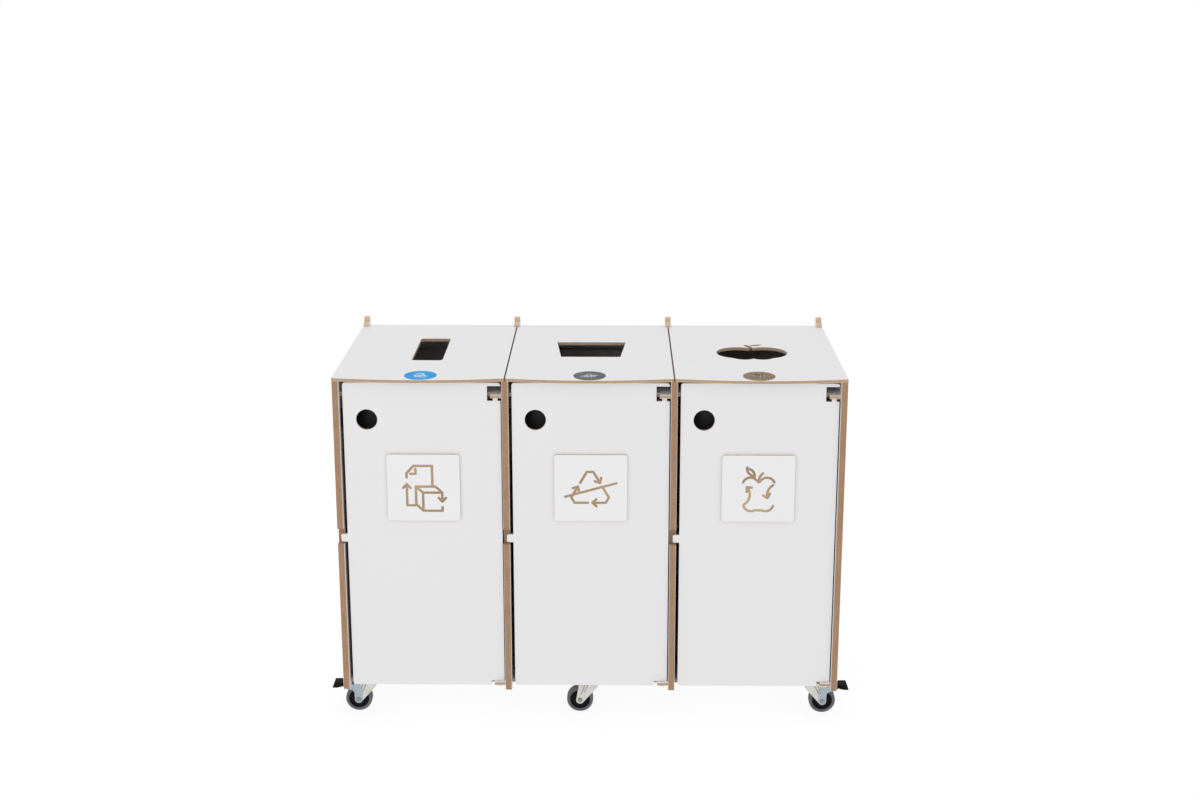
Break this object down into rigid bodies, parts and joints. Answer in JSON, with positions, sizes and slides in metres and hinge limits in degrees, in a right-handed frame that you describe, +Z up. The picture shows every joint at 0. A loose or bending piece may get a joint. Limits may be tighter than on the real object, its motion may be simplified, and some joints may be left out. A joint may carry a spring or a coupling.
{
  "type": "recycling bin station",
  "caption": "Free-standing recycling station of white-faced plywood on swivel casters: bays with hinged lids, tongue-hinged doors and inner bins.",
  "frame": {"origin": "middle of the footprint's box, on the floor", "axes": "+X to the right along the row of bays, -Y towards the doors, +Z up"},
  "size_m": [1.478, 0.6379, 1.028],
  "materials": {
    "white_board": "white laminate on birch plywood",
    "sign_board": "white laminate, engraved",
    "badge_blue": "satin",
    "badge_grey": "satin",
    "badge_taupe": "satin",
    "bin_plastic": "moulded",
    "zinc_steel": "zinc plated",
    "strike_steel": "brushed",
    "wheel_rubber": "matte",
    "black_plastic": "moulded"
  },
  "bodies": {
    "cabinet": {"left_end_panel": "white_board", "left_divider": "white_board", "right_divider": "white_board", "right_end_panel": "white_board", "floor_board_left": "white_board", "top_rail_left": "white_board", "back_panel_left": "white_board", "bin_left": "bin_plastic", "floor_board_centre": "white_board", "top_rail_centre": "white_board", "back_panel_centre": "white_board", "bin_centre": "bin_plastic", "floor_board_right": "white_board", "top_rail_right": "white_board", "back_panel_right": "white_board", "bin_right": "bin_plastic", "door_catches": "black_plastic", "caster_plates": "zinc_steel", "caster_screws": "zinc_steel"},
    "lid_left": {"lid_left": "white_board", "badge_left": "badge_blue"},
    "lid_centre": {"lid_centre": "white_board", "badge_centre": "badge_grey"},
    "lid_right": {"lid_right": "white_board", "badge_right": "badge_taupe"},
    "door_left": {"door_left": "white_board", "sign_plate_left": "sign_board", "strike_plate_left": "strike_steel"},
    "door_centre": {"door_centre": "white_board", "sign_plate_centre": "sign_board", "strike_plate_centre": "strike_steel"},
    "door_right": {"door_right": "white_board", "sign_plate_right": "sign_board", "strike_plate_right": "strike_steel"},
    "swivel_front_left": {"fork_front_left": "zinc_steel", "axle_front_left": "zinc_steel"},
    "wheel_front_left": {"wheel_front_left": "wheel_rubber"},
    "swivel_front_centre": {"fork_front_centre": "zinc_steel", "axle_front_centre": "zinc_steel"},
    "wheel_front_centre": {"wheel_front_centre": "wheel_rubber"},
    "swivel_front_right": {"fork_front_right": "zinc_steel", "axle_front_right": "zinc_steel"},
    "wheel_front_right": {"wheel_front_right": "wheel_rubber"},
    "swivel_rear_left": {"fork_rear_left": "zinc_steel", "axle_rear_left": "zinc_steel"},
    "wheel_rear_left": {"wheel_rear_left": "wheel_rubber"},
    "swivel_rear_centre": {"fork_rear_centre": "zinc_steel", "axle_rear_centre": "zinc_steel"},
    "wheel_rear_centre": {"wheel_rear_centre": "wheel_rubber"},
    "swivel_rear_right": {"fork_rear_right": "zinc_steel", "axle_rear_right": "zinc_steel"},
    "wheel_rear_right": {"wheel_rear_right": "wheel_rubber"},
    "brake_left": {"brake_pedal_left": "black_plastic"},
    "brake_right": {"brake_pedal_right": "black_plastic"}
  },
  "joints": [
    {"name": "lid_hinge_left", "type": "hinge", "parent": "cabinet", "child": "lid_left", "pos_m": [-0.46, 0.297, 0.9973], "axis": [-1, 0, 0], "range_deg": [0, 70]},
    {"name": "lid_hinge_centre", "type": "hinge", "parent": "cabinet", "child": "lid_centre", "pos_m": [0, 0.297, 0.9973], "axis": [-1, 0, 0], "range_deg": [0, 70]},
    {"name": "lid_hinge_right", "type": "hinge", "parent": "cabinet", "child": "lid_right", "pos_m": [0.46, 0.297, 0.9973], "axis": [-1, 0, 0], "range_deg": [0, 70]},
    {"name": "door_hinge_left", "type": "hinge", "parent": "cabinet", "child": "door_left", "pos_m": [-0.2564, -0.2845, 0.5], "axis": [0, 0, 1], "range_deg": [0, 120]},
    {"name": "door_hinge_centre", "type": "hinge", "parent": "cabinet", "child": "door_centre", "pos_m": [0.2036, -0.2845, 0.5], "axis": [0, 0, 1], "range_deg": [0, 120]},
    {"name": "door_hinge_right", "type": "hinge", "parent": "cabinet", "child": "door_right", "pos_m": [0.6636, -0.2845, 0.5], "axis": [0, 0, 1], "range_deg": [0, 120]},
    {"name": "swivel_front_left", "type": "hinge", "parent": "cabinet", "child": "swivel_front_left", "pos_m": [-0.635, -0.243, 0.09], "axis": [0, 0, 1], "continuous": true},
    {"name": "roll_front_left", "type": "hinge", "parent": "swivel_front_left", "child": "wheel_front_left", "pos_m": [-0.664, -0.243, 0.0375], "axis": [0, 1, 0], "continuous": true},
    {"name": "swivel_front_centre", "type": "hinge", "parent": "cabinet", "child": "swivel_front_centre", "pos_m": [0, -0.243, 0.09], "axis": [0, 0, 1], "continuous": true},
    {"name": "roll_front_centre", "type": "hinge", "parent": "swivel_front_centre", "child": "wheel_front_centre", "pos_m": [-0.029, -0.243, 0.0375], "axis": [0, 1, 0], "continuous": true},
    {"name": "swivel_front_right", "type": "hinge", "parent": "cabinet", "child": "swivel_front_right", "pos_m": [0.635, -0.243, 0.09], "axis": [0, 0, 1], "continuous": true},
    {"name": "roll_front_right", "type": "hinge", "parent": "swivel_front_right", "child": "wheel_front_right", "pos_m": [0.664, -0.243, 0.0375], "axis": [0, 1, 0], "continuous": true},
    {"name": "swivel_rear_left", "type": "hinge", "parent": "cabinet", "child": "swivel_rear_left", "pos_m": [-0.635, 0.241, 0.09], "axis": [0, 0, 1], "continuous": true},
    {"name": "roll_rear_left", "type": "hinge", "parent": "swivel_rear_left", "child": "wheel_rear_left", "pos_m": [-0.664, 0.241, 0.0375], "axis": [0, 1, 0], "continuous": true},
    {"name": "swivel_rear_centre", "type": "hinge", "parent": "cabinet", "child": "swivel_rear_centre", "pos_m": [0, 0.241, 0.09], "axis": [0, 0, 1], "continuous": true},
    {"name": "roll_rear_centre", "type": "hinge", "parent": "swivel_rear_centre", "child": "wheel_rear_centre", "pos_m": [-0.029, 0.241, 0.0375], "axis": [0, 1, 0], "continuous": true},
    {"name": "swivel_rear_right", "type": "hinge", "parent": "cabinet", "child": "swivel_rear_right", "pos_m": [0.635, 0.241, 0.09], "axis": [0, 0, 1], "continuous": true},
    {"name": "roll_rear_right", "type": "hinge", "parent": "swivel_rear_right", "child": "wheel_rear_right", "pos_m": [0.664, 0.241, 0.0375], "axis": [0, 1, 0], "continuous": true},
    {"name": "brake_left", "type": "hinge", "parent": "swivel_front_left", "child": "brake_left", "pos_m": [-0.694, -0.243, 0.0748], "axis": [0, -1, 0], "range_deg": [0, 15]},
    {"name": "brake_right", "type": "hinge", "parent": "swivel_front_right", "child": "brake_right", "pos_m": [0.694, -0.243, 0.0748], "axis": [0, 1, 0], "range_deg": [0, 15]}
  ]
}
